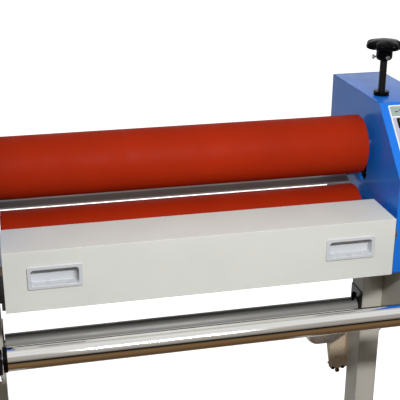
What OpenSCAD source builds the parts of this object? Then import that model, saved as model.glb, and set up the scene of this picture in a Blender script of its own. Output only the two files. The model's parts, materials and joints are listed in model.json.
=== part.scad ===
// Cold roll laminator on a stand: two driven rollers between two side boxes, with a feed table,
// a supply shaft in front and a motor-driven take-up shaft below.
// Millimetres. X runs along the rollers, -Y is the operator's side, +Z is up, and Z = 0 is the floor.
// The origin is on the floor, midway between the two columns.

/* [Side boxes] */
// Clear width between the two side boxes
inner_gap = 724; // [700:1:760]
// Width of one side box
box_w = 112; // [108:1:124]
// Depth of a side box, front to back
box_depth = 358; // [350:1:380]
// Height of a side box
box_h = 300; // [296:1:310]
// Run and rise of the slanted control face
slope_run = 116; // [110:1:122]
// How far a box's front lies ahead of the column's centre line
box_front = 152.5; // [150:0.5:160]
// Sheet thickness of covers and tables
sheet = 1.5; // [1:0.5:2]
// Thickness of the bearing side plates
plate_t = 6; // [5:0.5:8]

/* [Rollers] */
// Outside diameter of a roller
roller_d = 115; // [110:0.5:116]
// Length of the silicone sleeve
roller_len = 697; // [640:1:698]
// Thickness of the silicone sleeve
rubber_t = 8; // [5:0.5:12]
// Height of the lower roller's axis above the floor
lower_axis_z = 818; // [816:1:820]
// Distance of both roller axes behind the column's centre line
roller_y = 19.3; // [18:0.1:21]
// Opening between the rollers when raised
nip_open = 29; // [20:0.5:29]
// Diameter of the roller journals
journal_d = 30; // [24:1:32]

/* [Lift] */
// Diameter of the lift spindles
spindle_d = 14; // [12:1:14]
// Distance of the spindle from a side box's inner face
spindle_inset = 28; // [26:1:30]
// Outside diameter of a handwheel
wheel_d = 74; // [70:1:84]
// Thickness of a handwheel's rim
wheel_t = 14; // [12:1:18]
// Height of the spindle between the box top and the hub when raised
spindle_rise = 69; // [60:1:75]

/* [Feed table] */
// Length of the feed table
table_len = 700; // [680:1:700]
// Depth of the table top
table_depth = 103.5; // [95:0.5:105]
// Height of the table's front face
table_h = 111; // [100:1:115]
// Height of the table top above the floor
table_z = 880; // [878:1:882]
// How far the table's front lies ahead of the boxes' fronts
table_reach = 23; // [15:1:25]
// Width of a flush pull
pull_w = 93; // [80:1:96]
// Height of a flush pull
pull_h = 42; // [38:1:46]
// Distance between the centres of the two pulls
pull_pitch = 529; // [500:1:540]

/* [Shafts] */
// Outside diameter of the supply and take-up tubes
tube_d = 40; // [36:0.5:42]
// Distance of the supply shaft ahead of the column's centre line
supply_reach = 244; // [240:1:250]
// Height of the supply shaft's axis
supply_z = 722; // [718:1:726]
// Height of the take-up shaft's axis
takeup_z = 611; // [605:1:615]
// Diameter of the axles inside the tubes
axle_d = 16; // [14:1:18]

/* [Stand] */
// Width of a column along X
column_w = 43.5; // [40:0.5:46]
// Depth of a column along Y
column_d = 61; // [56:1:64]
// Wall of the steel tubes
tube_wall = 3; // [2:0.5:4]
// Length of a foot beam
foot_len = 620; // [600:5:660]
// Height of a foot beam
foot_h = 40; // [36:1:44]
// Height of the crossbeam's axis
crossbeam_z = 210; // [180:5:260]

/* [Hidden] */
$fn = 96;
// Running fit of a shaft in its bore, radial
fit = 0.05;
// Working clearance between sliding faces
gap = 0.3;

in_x = inner_gap / 2;
out_x = in_x + box_w;
mid_x = in_x + box_w / 2;
box_top = table_z + 178.4;
box_bottom = box_top - box_h;
front_y = -box_front;
back_y = front_y + box_depth;
bend_z = box_top - slope_run;
slope_len = slope_run * sqrt(2);

roller_r = roller_d / 2;
journal_r = journal_d / 2;
nip_z = lower_axis_z + roller_r;
upper_axis_z = nip_z + nip_open + roller_r;
core_r = roller_r - rubber_t;

spindle_x = in_x + spindle_inset;
block_w = 40;
block_drop = 34;
block_top = upper_axis_z + 40;
slot_r = 20;
slot_low = nip_z + 30.5;
bridge_z = block_top + 10;
hub_z = box_top + spindle_rise;
wheel_z = hub_z + 21;

column_x = in_x + column_w / 2;
column_out = in_x + column_w;
foot_top = 62;
arm_t = 6;
arm_out = column_out + arm_t;
flange_t = 2;

table_front = front_y - table_reach;
table_back = table_front + table_depth;
pull_z = table_z - 49;
rail_z = table_z - 36;

motor_y = 62;
motor_z = 532.6;
motor_r = 36;
neck_r = 22;
neck_len = 32;
gear_x = 330;
gear_right = 376;
gear_front = 50;
gear_back = 75;
gear_low = 430;
gear_high = motor_z + neck_r - 2;
case_x = arm_out;
sprocket_x = case_x + 7;
chain_pitch_gap = 0.6;

drive_y = -80;
drive_z = 812;
drive_x = mid_x + 28;

blue = "#2a6fd0";
beige = "#b9b3a6";
off_white = "#cfcfc8";
black = "#16171a";
steel = "#a9acb0";
orange_red = "#b0321a";

// ---------------------------------------------------------------- helpers

// Draws the children and their mirror image on the other side of the machine
module both_sides() {
    children();
    mirror([1, 0, 0]) children();
}

// Extrudes an outline given in the Y-Z plane along X
module along_x(x0, x1) {
    translate([x0, 0, 0])
        rotate([90, 0, 90])
            linear_extrude(x1 - x0) children();
}

// Extrudes an outline given in the X-Z plane along Y
module along_y(y0, y1) {
    translate([0, y1, 0])
        rotate([90, 0, 0])
            linear_extrude(y1 - y0) children();
}

// Cylinder whose axis runs along X
module x_rod(x0, x1, y, z, r) {
    translate([x0, y, z])
        rotate([0, 90, 0])
            cylinder(h = x1 - x0, r = r);
}

// Box given by its lowest and highest corners
module block(low, high) {
    translate(low) cube(high - low);
}

// Flat rectangle with round corners, centred
module round_rect(w, h, r) {
    square([w - 2 * r, h], center = true);
    square([w, h - 2 * r], center = true);
    for (x = [-1, 1], y = [-1, 1])
        translate([x * (w / 2 - r), y * (h / 2 - r)]) circle(r);
}

// Section of a hollow rectangular tube
module tube_section(w, h, r, wall) {
    difference() {
        round_rect(w, h, r);
        round_rect(w - 2 * wall, h - 2 * wall, max(r - wall, 0.5));
    }
}

// Outline shared by the side boxes' covers and plates, inset by t on every side
function box_outline(t) =
    let (line = bend_z - front_y - t * sqrt(2))
    [
        [front_y + t, box_bottom + t],
        [back_y - t, box_bottom + t],
        [back_y - t, box_top - t],
        [box_top - t - line, box_top - t],
        [front_y + t, front_y + t + line]
    ];

// Places children on the slanted face: X along the face, Y up the slope, Z outwards
module on_slope(x, up) {
    translate([x, front_y + slope_run / 2, bend_z + slope_run / 2])
        rotate([45, 0, 0])
            translate([0, up, 0]) children();
}

// Flat outline of a chain sprocket with straight-sided teeth
module sprocket_outline(teeth, tip_r) {
    root_r = tip_r - 4;
    step = 360 / teeth;
    polygon([
        for (i = [0 : teeth - 1], k = [0 : 3])
            let (r = (k == 0 || k == 3) ? root_r : tip_r, a = step * (i + [0, 0.3, 0.5, 0.8][k]))
            [r * cos(a), r * sin(a)]
    ]);
}

// Closed band that stands for a roller chain around two sprockets, each given as [y, z, tip radius]
module chain_band(x, a, b) {
    along_x(x, x + 6)
        difference() {
            hull() for (s = [a, b])
                translate([s[0], s[1]]) circle(s[2] + 6, $fn = 48);
            hull() for (s = [a, b])
                translate([s[0], s[1]]) circle(s[2] + chain_pitch_gap, $fn = 48);
        }
}

// Hexagonal bolt head on a washer, axis along +X
module x_bolt(x, y, z, size = 8) {
    translate([x, y, z])
        rotate([0, 90, 0]) {
            cylinder(h = 1.5, r = size);
            translate([0, 0, 1.5]) cylinder(h = size * 0.65, r = size * 0.9, $fn = 6);
        }
}

// ---------------------------------------------------------------- stand

// Hole through a column for the take-up axle's bush
bush_r = 14;

module column() {
    color(beige) {
        difference() {
            translate([column_x, 0, foot_top + 6])
                linear_extrude(box_bottom - foot_top - 6)
                    tube_section(column_w, column_d, 4, tube_wall);
            x_rod(in_x - 1, column_out + 1, 0, takeup_z, bush_r);
        }
        translate([column_x, 0, foot_top])
            linear_extrude(6) round_rect(column_w + 6, column_d + 60, 6);
    }
}

module left_column() {
    mirror([1, 0, 0]) column();
}

module right_column() {
    column();
}

module foot_beams() {
    color(beige) both_sides()
        translate([column_x, foot_len / 2, foot_top - foot_h / 2])
            rotate([90, 0, 0])
                linear_extrude(foot_len) tube_section(50, foot_h, 5, tube_wall);
}

module foot_end_caps() {
    color(black) both_sides()
        for (s = [-1, 1])
            translate([column_x, s * (foot_len / 2 + 1.5), foot_top - foot_h / 2])
                rotate([90, 0, 0])
                    linear_extrude(3, center = true) round_rect(50, foot_h, 5);
}

module levelling_feet() {
    color(black) both_sides()
        for (s = [-1, 1])
            translate([column_x, s * (foot_len / 2 - 25), 0]) {
                cylinder(h = 6, r = 24);
                translate([0, 0, 6]) cylinder(h = 4, r1 = 24, r2 = 12);
                cylinder(h = foot_top - foot_h, r = 6);
            }
}

module lower_crossbeam() {
    color(beige) {
        along_x(-in_x + 5, in_x - 5)
            translate([0, crossbeam_z]) tube_section(40, 60, 4, tube_wall);
        both_sides() along_x(in_x - 5, in_x)
            translate([0, crossbeam_z]) round_rect(56, 90, 4);
    }
}

// Side plates that carry the supply shaft ahead of the columns
module shaft_arms() {
    color(beige) both_sides() difference() {
        along_x(column_out, arm_out)
            polygon([
                [30, box_bottom - 1], [-150, box_bottom - 1], [-supply_reach - 18, supply_z + 20],
                [-supply_reach - 18, supply_z - 22], [-supply_reach + 29, supply_z - 32],
                [-110, 630], [-30, takeup_z - 21], [30, takeup_z - 21]
            ]);
        x_rod(column_out - 1, arm_out + 1, 0, takeup_z, bush_r);
    }
}

// Folded sheet that ties the two side boxes together under the lower roller
module bottom_tie_plate() {
    tie_z = box_bottom - 8;
    tie_front = -100;
    tie_back = 190;
    lip = 15;
    color("#8f9092") {
        block([-in_x, tie_front, tie_z], [in_x, tie_back, tie_z + sheet]);
        for (y = [tie_front, tie_back - sheet])
            block([-in_x + 5, y, tie_z - lip], [in_x - 5, y + sheet, tie_z]);
        both_sides()
            block([in_x - sheet, tie_front, tie_z], [in_x, tie_back, tie_z + 44]);
    }
}

// Open cradle for the supply axle, on a post that stands off the arm
cradle_x = in_x - 0.5;
cradle_t = 12;
supply_axle_end = cradle_x + cradle_t + 6;

module shaft_cradles() {
    color(black) both_sides() difference() {
        union() {
            along_x(cradle_x, cradle_x + cradle_t)
                translate([-supply_reach, supply_z - 4]) round_rect(30, 34, 4);
            along_x(cradle_x + cradle_t, column_out)
                translate([-supply_reach, supply_z - 15.5]) round_rect(24, 11, 3);
        }
        x_rod(cradle_x - 1, supply_axle_end + 1, -supply_reach, supply_z, axle_d / 2 + fit);
        block([cradle_x - 1, -supply_reach - axle_d / 2 - fit, supply_z],
              [supply_axle_end + 1, -supply_reach + axle_d / 2 + fit, supply_z + 20]);
        translate([cradle_x + cradle_t / 2, -supply_reach, supply_z - 30])
            cylinder(h = 25, r = 3 + fit);
    }
}

// Bolt ears along the lower edge of the take-up gear housing, each given as [x, z, radius]
gear_ears = [[340, 433, 5], [351, 425, 5.5], [363, 433, 5]];
ear_bolt = 3;

module stand_bolts() {
    color(black) {
        both_sides() {
            for (y = [-18, 18], z = [box_bottom - 18, box_bottom - 68])
                x_bolt(arm_out, y, z);
            for (z = [crossbeam_z - 25, crossbeam_z + 25])
                x_bolt(column_out, 0, z);
            for (y = [-46, 46])
                translate([column_x, y, foot_top + 6]) rotate([0, -90, 0]) x_bolt(0, 0, 0);
        }
        for (e = gear_ears)
            translate([e[0], gear_front, e[1]]) rotate(-90) x_bolt(0, 0, 0, ear_bolt);
        translate([gear_x, gear_front + gear_flange / 2, gear_low + 17])
            rotate(180) x_bolt(0, 0, 0, gear_flange / 2);
    }
}

// ---------------------------------------------------------------- side boxes

panel_w = 82;
panel_len = 140;
panel_up = slope_len / 2 - 7 - panel_len / 2;
display_up = panel_up + panel_len / 2 - 39;
switch_up = display_up - 36;
knob_up = switch_up - 36;
display_w = 62;
display_h = 21;
rocker_r = 10;
rocker_w = 20;
rocker_sink = 4;
inlet_z = box_bottom + 42;
power_z = inlet_z + 50;

module side_plate() {
    color(blue) difference() {
        along_x(in_x, in_x + plate_t) polygon(box_outline(sheet + gap));
        along_x(in_x - 1, in_x + plate_t + 1) {
            translate([roller_y - slot_r, slot_low])
                square([2 * slot_r, upper_axis_z - slot_low]);
            for (z = [slot_low, upper_axis_z])
                translate([roller_y, z]) circle(slot_r);
        }
        x_rod(in_x - 1, in_x + plate_t + 1, roller_y, lower_axis_z, journal_r + 2);
    }
}

module left_side_plate() {
    mirror([1, 0, 0]) side_plate();
}

module right_side_plate() {
    side_plate();
}

module side_cover() {
    difference() {
        along_x(in_x, out_x) polygon(box_outline(0));
        along_x(in_x - 1, out_x - sheet) polygon(box_outline(sheet));
        translate([spindle_x, roller_y, box_top - 5]) cylinder(h = 10, r = spindle_d / 2 + 3);
    }
}

module left_side_cover() {
    color(blue) mirror([1, 0, 0]) side_cover();
}

module right_side_cover() {
    color(blue) difference() {
        side_cover();
        on_slope(mid_x, panel_up) cube([panel_w - 14, panel_len - 30, 10], center = true);
        block([mid_x - 14, back_y - 5, inlet_z - 11], [mid_x + 14, back_y + 5, inlet_z + 11]);
        block([mid_x - rocker_w / 2 - 1, back_y - 5, power_z - rocker_r - 1],
              [mid_x + rocker_w / 2 + 1, back_y + 5, power_z + rocker_r + 1]);
    }
}

module cover_screws() {
    color(steel) both_sides()
        for (y = [front_y + 18, back_y - 18], z = [box_bottom + 18, bend_z - 30])
            x_rod(out_x, out_x + 2, y, z, 4.5);
}

module spindle_collars() {
    collar_h = 8.5;
    color(black) both_sides()
        translate([spindle_x, roller_y, 0]) difference() {
            union() {
                translate([0, 0, box_top]) cylinder(h = collar_h, r = 15);
                translate([0, 0, box_top - 6]) cylinder(h = 6, r = spindle_d / 2 + 2.5);
            }
            translate([0, 0, box_top - 7])
                cylinder(h = collar_h + 8, r = spindle_d / 2 + gap);
        }
}

module outfeed_table() {
    lip_y = roller_y + 37;
    flat_y = lip_y + 20;
    flat_z = nip_z;
    end_y = back_y - 10;
    half = roller_len / 2 + 5;
    color(steel) {
        along_x(-half, half) polygon([
            [lip_y, flat_z - 7], [flat_y, flat_z], [end_y, flat_z], [end_y, flat_z - 30],
            [end_y - sheet, flat_z - 30], [end_y - sheet, flat_z - sheet],
            [flat_y, flat_z - sheet], [lip_y, flat_z - 7 - sheet]
        ]);
        both_sides()
            block([half - 30, flat_y + 20, flat_z - sheet - 6], [in_x, end_y - 20, flat_z - sheet]);
    }
}

// Height and depth of the slide rails beside the feed table, and their reach behind it
rail_h = 24;
rail_in = 7;
rail_tail = 40;

module table_slides() {
    color(steel) both_sides() difference() {
        block([in_x - rail_in, front_y + 4, rail_z - rail_h / 2],
              [in_x, table_back + rail_tail + 4, rail_z + rail_h / 2]);
        block([in_x - rail_in - 1, front_y, rail_z - rail_h / 2 + 2.5],
              [in_x - 2, table_back + rail_tail + 10, rail_z + rail_h / 2 - 2.5]);
    }
}

module control_panel() {
    color("#aeb6c2") difference() {
        on_slope(mid_x, panel_up) linear_extrude(1) round_rect(panel_w, panel_len, 3);
        on_slope(mid_x, display_up) cube([display_w - 8, display_h - 6, 10], center = true);
        on_slope(mid_x, switch_up)
            cube([rocker_w + 2 * gap + 1, 2 * rocker_r + 1, 10], center = true);
        on_slope(mid_x, knob_up) translate([0, 0, -5]) cylinder(h = 10, r = 3 + fit);
    }
}

module speed_display() {
    color("#5a0f0c") on_slope(mid_x, display_up) {
        translate([0, 0, 1]) linear_extrude(2) round_rect(display_w, display_h, 1.5);
        translate([0, 0, -9])
            linear_extrude(10) square([display_w - 9, display_h - 7], center = true);
    }
}

module power_inlet() {
    color(black) difference() {
        union() {
            block([mid_x - 17, back_y, inlet_z - 14], [mid_x + 17, back_y + 2, inlet_z + 14]);
            block([mid_x - 13.5, back_y - 22, inlet_z - 10.5], [mid_x + 13.5, back_y, inlet_z + 10.5]);
        }
        block([mid_x - 11.5, back_y - 16, inlet_z - 8.5], [mid_x + 11.5, back_y + 3, inlet_z + 8.5]);
    }
    color(steel)
        for (p = [[-6, -2], [0, 2], [6, -2]])
            translate([mid_x + p[0], back_y - 12, inlet_z + p[1]])
                cube([2, 8, 4], center = true);
}

module control_board() {
    color("#2f6b3c")
        block([mid_x - 40, back_y - 110, box_bottom + 8], [mid_x + 40, back_y - 40, box_bottom + 10]);
    color("#3a3a3d") {
        block([mid_x - 30, back_y - 100, box_bottom + 10], [mid_x + 5, back_y - 60, box_bottom + 45]);
        for (y = [back_y - 100, back_y - 75])
            translate([mid_x + 22, y, box_bottom + 10]) cylinder(h = 22, r = 8);
    }
    color(steel)
        for (x = [-34, 34], y = [-104, -46])
            translate([mid_x + x, back_y + y, box_bottom + sheet])
                cylinder(h = 8 - sheet, r = 3);
}

// Upright gear motor that turns the lower roller by a chain
module drive_motor() {
    color("#4a4d52") difference() {
        union() {
            block([mid_x - 38, drive_y - 35, drive_z - 32], [mid_x + 22, drive_y + 35, drive_z + 38]);
            translate([mid_x - 8, drive_y, drive_z + 38]) cylinder(h = 100, r = 37);
            translate([mid_x - 8, drive_y, drive_z + 138]) cylinder(h = 8, r = 24);
            block([mid_x - 44, drive_y - 30, box_bottom + sheet], [mid_x + 28, drive_y + 30, drive_z - 32]);
        }
        x_rod(mid_x, mid_x + 30, drive_y, drive_z, 6 + fit);
    }
}

module lower_bearings() {
    color("#3d4046") both_sides() difference() {
        union() {
            x_rod(in_x + plate_t, in_x + plate_t + 8, roller_y, lower_axis_z, 35);
            x_rod(in_x + plate_t + 8, in_x + plate_t + 24, roller_y, lower_axis_z, 26);
        }
        x_rod(in_x, in_x + 40, roller_y, lower_axis_z, journal_r + fit);
    }
}

// Tip radii of the two drive sprockets
driven_tip = 44;
motor_tip = 24;

module drive_chain() {
    color(steel)
        chain_band(drive_x, [roller_y, lower_axis_z, driven_tip], [drive_y, drive_z, motor_tip]);
}

// Uprights that guide a bearing block, with the bridge that holds the spindle's nut
module lift_guides() {
    x0 = in_x + plate_t;
    x1 = x0 + 34;
    side = block_w / 2;
    color("#5b6068") both_sides() difference() {
        union() {
            for (s = [-1, 1])
                translate([x0, roller_y + s * (side + 7) - 7, nip_z + 5])
                    cube([34, 14, bridge_z - nip_z - 5]);
            block([x0, roller_y - side - 14, bridge_z], [x1, roller_y + side + 14, bridge_z + 20]);
            translate([spindle_x, roller_y, bridge_z + 20]) cylinder(h = 8, r = 13);
        }
        translate([spindle_x, roller_y, bridge_z - 1]) cylinder(h = 40, r = spindle_d / 2 + fit);
    }
}

// ---------------------------------------------------------------- take-up drive

// Motor can with a rounded left end and a cast neck that narrows towards the column
module takeup_motor() {
    can_len = 30;
    dome = 24;
    color("#9a9ca0") translate([gear_x, motor_y, motor_z]) {
        rotate([0, -90, 0])
            rotate_extrude() {
                square([motor_r, can_len]);
                translate([0, can_len]) square([motor_r - dome, dome]);
                translate([motor_r - dome, can_len]) intersection() {
                    circle(dome);
                    square(dome);
                }
            }
        rotate([0, 90, 0]) cylinder(h = neck_len, r1 = motor_r, r2 = neck_r);
    }
}

gear_flange = 4;

// Outline of the take-up gear housing, seen from the front
module gear_outline() {
    translate([(gear_x + gear_right) / 2, (gear_low + gear_high) / 2])
        round_rect(gear_right - gear_x, gear_high - gear_low, 12);
}

// Housing below the motor's neck: a flange with bolt ears and a body that thins towards its lower
// end, held by a bracket on the column's back
module takeup_gearbox() {
    neck_axis = [gear_x, motor_y, motor_z];
    color("#8f8a80") difference() {
        union() {
            along_y(gear_front, gear_front + gear_flange) {
                gear_outline();
                for (e = gear_ears) translate([e[0], e[1]]) circle(e[2]);
            }
            intersection() {
                along_y(gear_front, gear_back) gear_outline();
                along_x(gear_x, gear_right)
                    polygon([
                        [gear_front, gear_low], [gear_front, gear_high], [gear_back, gear_high],
                        [gear_back, gear_low + 70], [gear_back - 5, gear_low + 50],
                        [gear_back - 13, gear_low + 32], [gear_front + gear_flange, gear_low + 16],
                        [gear_front + gear_flange, gear_low]
                    ]);
            }
            x_rod(gear_right - 8, gear_right + 12, motor_y, motor_z, 12);
            block([in_x + 4, column_d / 2, gear_low + 34],
                  [column_out - 15, gear_back, gear_low + 84]);
        }
        translate(neck_axis) rotate([0, 90, 0])
            cylinder(h = neck_len + gap, r1 = motor_r + gap, r2 = neck_r + gap);
        x_rod(gear_right - 10, gear_right + 13, motor_y, motor_z, 6 + fit);
    }
}

// Tip radii of the two take-up sprockets, and the case's room around them
takeup_tip = 30;
output_tip = 19.8;
case_room = 7.5;

// Outline of the chain case's inside, grown all round by the given amount
module case_outline(grow) {
    hull() {
        translate([0, takeup_z]) circle(takeup_tip + case_room + grow, $fn = 64);
        translate([motor_y, motor_z]) circle(output_tip + case_room + grow, $fn = 64);
    }
}

module chain_case() {
    color(beige) difference() {
        along_x(case_x, case_x + 20) case_outline(sheet);
        along_x(case_x + sheet, case_x + 20 - sheet) case_outline(0);
        x_rod(case_x - 1, case_x + 5, 0, takeup_z, axle_d / 2 + 2);
        x_rod(case_x - 1, case_x + 5, motor_y, motor_z, 8);
    }
}

module takeup_chain() {
    color(steel)
        chain_band(sprocket_x, [0, takeup_z, takeup_tip], [motor_y, motor_z, output_tip]);
}

// Bushes of the take-up axle, each with an upright plate on the column's inner face
module axle_bushes() {
    color("#3d4046") both_sides() difference() {
        union() {
            along_x(in_x - flange_t, in_x)
                translate([0, takeup_z]) round_rect(column_d - 7, 86, 3);
            x_rod(in_x, arm_out, 0, takeup_z, bush_r);
        }
        x_rod(in_x - 5, arm_out + 1, 0, takeup_z, axle_d / 2 + fit);
    }
}

// ---------------------------------------------------------------- rollers

module bearing_blocks() {
    color("#2c2e33") both_sides() difference() {
        block([in_x + plate_t + 0.5, roller_y - block_w / 2 + gap, upper_axis_z - block_drop],
              [spindle_x + 12, roller_y + block_w / 2 - gap, block_top]);
        x_rod(in_x, spindle_x, roller_y, upper_axis_z, journal_r + fit);
        translate([spindle_x, roller_y, block_top - 14]) cylinder(h = 20, r = spindle_d / 2 + fit);
    }
}

// Wall of the steel roller tube and thickness of its welded end discs
core_wall = 8;
disc_t = 20;

// Steel tube with recessed end discs and journals; the journals reach x_left and x_right
module roller_core(z, x_left, x_right) {
    half = roller_len / 2 + 1;
    color(steel) {
        difference() {
            x_rod(-half, half, roller_y, z, core_r);
            x_rod(-half - 1, half + 1, roller_y, z, core_r - core_wall);
        }
        for (s = [[-x_left, -half + disc_t], [half - disc_t, x_right]])
            x_rod(s[0], s[1], roller_y, z, journal_r);
        for (x = [-half + 3, half - disc_t])
            x_rod(x, x + disc_t - 3, roller_y, z, core_r - core_wall);
    }
}

module roller_sleeve(z) {
    color(orange_red) difference() {
        x_rod(-roller_len / 2, roller_len / 2, roller_y, z, roller_r);
        x_rod(-roller_len, roller_len, roller_y, z, core_r);
    }
}

module upper_roller_core() {
    roller_core(upper_axis_z, in_x + 24, in_x + 24);
}

module upper_roller_sleeve() {
    roller_sleeve(upper_axis_z);
}

module lower_roller_core() {
    roller_core(lower_axis_z, in_x + 40, drive_x + 10);
}

module lower_roller_sleeve() {
    roller_sleeve(lower_axis_z);
}

module driven_sprocket() {
    color(steel) difference() {
        union() {
            along_x(drive_x, drive_x + 6)
                translate([roller_y, lower_axis_z]) sprocket_outline(28, driven_tip);
            x_rod(drive_x - 10, drive_x, roller_y, lower_axis_z, 24);
        }
        x_rod(drive_x - 12, drive_x + 8, roller_y, lower_axis_z, journal_r + fit);
    }
}

module motor_sprocket() {
    color(steel) {
        along_x(drive_x, drive_x + 6)
            translate([drive_y, drive_z]) sprocket_outline(14, motor_tip);
        x_rod(mid_x + 2, drive_x, drive_y, drive_z, 6);
    }
}

// ---------------------------------------------------------------- lift handwheels

// Lobes of a handwheel, radius of its hub and rise of its domed top
lobe_count = 7;
lobe_r = 13;
hub_r = 15.5;
dome_h = 5;

module spindle() {
    color(black) translate([spindle_x, roller_y, block_top - 13])
        cylinder(h = hub_z + 16 - block_top + 13, r = spindle_d / 2);
}

// Lobed wheel with a rounded rim and a shallow domed top on a stepped hub
module handwheel() {
    wheel_r = wheel_d / 2;
    edge = 4;
    flat_r = wheel_r - edge;
    dome_r = (flat_r * flat_r + dome_h * dome_h) / (2 * dome_h);
    color(black) translate([spindle_x, roller_y, 0]) difference() {
        union() {
            intersection() {
                translate([0, 0, wheel_z]) linear_extrude(wheel_t + dome_h + 1) {
                    circle(wheel_r - lobe_r);
                    for (i = [0 : lobe_count - 1])
                        rotate(180 + i * 360 / lobe_count)
                            translate([wheel_r - lobe_r, 0]) circle(lobe_r);
                }
                translate([0, 0, wheel_z]) rotate_extrude() {
                    square([flat_r, wheel_t]);
                    translate([0, edge]) square([wheel_r, wheel_t - 2 * edge]);
                    for (z = [edge, wheel_t - edge])
                        translate([flat_r, z]) circle(edge);
                    intersection() {
                        translate([0, wheel_t + dome_h - dome_r]) circle(dome_r);
                        translate([0, wheel_t - 1]) square([flat_r, dome_h + 2]);
                    }
                }
            }
            translate([0, 0, hub_z + 4]) cylinder(h = wheel_z - hub_z - 4, r = hub_r);
            translate([0, 0, hub_z]) cylinder(h = 4, r1 = hub_r - 3, r2 = hub_r);
        }
        translate([0, 0, hub_z - 1]) cylinder(h = 18, r = spindle_d / 2 + fit);
    }
}

// Set screw at the front of the hub and locking screw at its left
module hub_screws() {
    screw_z = hub_z + 7;
    color(steel) translate([spindle_x, roller_y, screw_z]) {
        rotate([90, 0, 0]) translate([0, 0, hub_r]) {
            cylinder(h = 1.5, r = 4.2);
            translate([0, 0, 1.5]) cylinder(h = 3, r = 3.8, $fn = 6);
        }
        rotate([0, -90, 0]) translate([0, 0, hub_r]) {
            cylinder(h = 6, r = 2);
            translate([0, 0, 6]) cylinder(h = 3, r = 4.5);
        }
    }
}

module right_handwheel() {
    handwheel();
}

module right_spindle() {
    spindle();
}

module right_hub_screws() {
    hub_screws();
}

module left_handwheel() {
    translate([-2 * spindle_x, 0, 0]) handwheel();
}

module left_spindle() {
    translate([-2 * spindle_x, 0, 0]) spindle();
}

module left_hub_screws() {
    translate([-2 * spindle_x, 0, 0]) hub_screws();
}

// ---------------------------------------------------------------- feed table

// Folded sheet: top, front, two end walls and stiffening returns
module feed_table() {
    half = table_len / 2;
    low = table_z - table_h;
    color(off_white) difference() {
        union() {
            block([-half, table_front, table_z - sheet], [half, table_back, table_z]);
            block([-half, table_front, low], [half, table_front + sheet, table_z]);
            block([-half, table_front, low], [half, table_front + 18, low + sheet]);
            block([-half, table_back - sheet, table_z - 25], [half, table_back, table_z]);
            both_sides()
                block([half - sheet, table_front, low], [half, table_back, table_z]);
        }
        for (s = [-1, 1])
            translate([s * pull_pitch / 2, table_front - 1, pull_z])
                rotate([-90, 0, 0])
                    linear_extrude(4) round_rect(pull_w - 9, pull_h - 9, 5);
    }
}

// Recessed cups with a raised rim, set in the table's front
module hand_pulls() {
    color("#dfe2e6")
        for (s = [-1, 1])
            translate([s * pull_pitch / 2, table_front, pull_z])
                rotate([-90, 0, 0]) difference() {
                    union() {
                        translate([0, 0, -2.5]) linear_extrude(2.5) round_rect(pull_w, pull_h, 4);
                        linear_extrude(17) round_rect(pull_w - 9.6, pull_h - 9.6, 5);
                    }
                    translate([0, 0, -3]) linear_extrude(18.5) round_rect(pull_w - 13, pull_h - 13, 5);
                }
}

module table_runners() {
    color(steel) both_sides()
        block([table_len / 2, table_front + 12, rail_z - rail_h / 2 + 3],
              [in_x - 2.6, table_back + rail_tail, rail_z + rail_h / 2 - 3]);
}

// ---------------------------------------------------------------- supply shaft

// Half length of the supply tube
tube_half = in_x - 9;

module supply_tube() {
    color("#c9ccd0") difference() {
        x_rod(-tube_half, tube_half, -supply_reach, supply_z, tube_d / 2);
        x_rod(-tube_half - 1, tube_half + 1, -supply_reach, supply_z, tube_d / 2 - 2);
    }
}

module supply_end_rings() {
    color(black) both_sides() difference() {
        union() {
            x_rod(tube_half, tube_half + 7, -supply_reach, supply_z, tube_d / 2 + 1.5);
            x_rod(tube_half - 14, tube_half, -supply_reach, supply_z, tube_d / 2 - 2 - fit);
        }
        x_rod(tube_half - 20, tube_half + 20, -supply_reach, supply_z, axle_d / 2);
    }
}

module supply_axle() {
    color(steel)
        x_rod(-supply_axle_end, supply_axle_end, -supply_reach, supply_z, axle_d / 2);
}

// Threaded screw that brakes the axle from below
module brake_screw() {
    color("#b9bcc0") translate([cradle_x + cradle_t / 2, -supply_reach, 0]) {
        translate([0, 0, supply_z - 42]) cylinder(h = 33.5, r = 3);
        translate([0, 0, supply_z - 44]) cylinder(h = 8, r = 5);
    }
}

module left_brake_screw() {
    mirror([1, 0, 0]) brake_screw();
}

module right_brake_screw() {
    brake_screw();
}

// ---------------------------------------------------------------- take-up shaft

// Half length of the take-up tube, and length of the plugs in its ends
takeup_half = in_x - flange_t - 1.5;
plug_len = 16;

module takeup_tube() {
    color("#8f9092") difference() {
        x_rod(-takeup_half, takeup_half, 0, takeup_z, tube_d / 2);
        x_rod(-takeup_half - 1, takeup_half + 1, 0, takeup_z, tube_d / 2 - 2);
        on_plug() cylinder(h = tube_d, r = 3 + fit);
    }
}

// Plugs that carry the tube's ends on the axle
module takeup_end_plugs() {
    color(black) difference() {
        both_sides()
            x_rod(takeup_half - plug_len, takeup_half, 0, takeup_z, tube_d / 2 - 2 - fit);
        x_rod(-in_x, in_x, 0, takeup_z, axle_d / 2);
        on_plug() cylinder(h = tube_d, r = 3 + fit);
    }
}

// Places children at the plug beside the drive, Z pointing out of the tube, up and forward
module on_plug() {
    translate([takeup_half - plug_len / 2, 0, takeup_z])
        rotate([17, 0, 0])
            translate([0, 0, tube_d / 2 - 8]) children();
}

module takeup_axle() {
    color(steel) {
        x_rod(-arm_out + 2, sprocket_x + 9, 0, takeup_z, axle_d / 2);
        along_x(sprocket_x, sprocket_x + 6)
            translate([0, takeup_z]) sprocket_outline(22, takeup_tip);
    }
}

// Small knob that locks the tube on its axle
module takeup_lock_knob() {
    color(black) on_plug() {
        translate([0, 0, 0.5]) cylinder(h = 17.5, r = 3);
        translate([0, 0, 17]) cylinder(h = 9, r = 5.5);
    }
}

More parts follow.
